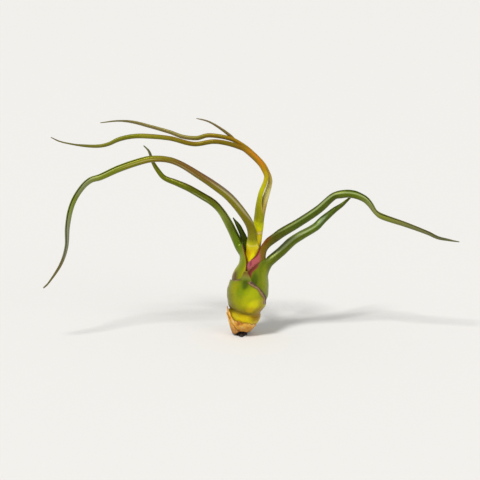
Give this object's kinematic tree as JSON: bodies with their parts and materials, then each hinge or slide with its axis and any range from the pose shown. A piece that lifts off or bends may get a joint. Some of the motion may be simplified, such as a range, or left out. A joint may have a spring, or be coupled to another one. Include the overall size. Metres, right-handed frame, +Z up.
{
  "type": "tillandsia bulbosa air plant",
  "caption": "Small bare-rooted air plant: an inflated bulb of clasping leaf sheaths on a short stem stub, with long rolled leaves that twist out to both sides and end in fine tips",
  "frame": {"origin": "centre of the flat foot under the stem stub, on the surface that the plant stands on", "axes": "+Z is up, +X is to the right in the picture and along the spread of the leaves, +Y points away from the viewer"},
  "size_m": [0.2067, 0.0366, 0.1099],
  "materials": {
    "stem": "dark dry woody stem and root stub",
    "dry_sheath": "dry orange papery old leaf sheath",
    "leaf_green": null,
    "leaf_dark_green": null,
    "leaf_yellow_green": null
  },
  "bodies": {
    "root": {"stem_stub": "stem", "sheath_dry_basal": "dry_sheath", "leaf_front_bulb": "leaf_green", "leaf_right_low": "leaf_dark_green", "leaf_left_low": "leaf_dark_green", "leaf_right_high": "leaf_green", "leaf_back_short": "leaf_dark_green", "leaf_left_high": "leaf_green", "leaf_crown_outer": "leaf_yellow_green", "leaf_crown_middle": "leaf_yellow_green", "leaf_crown_inner": "leaf_yellow_green"}
  },
  "joints": []
}
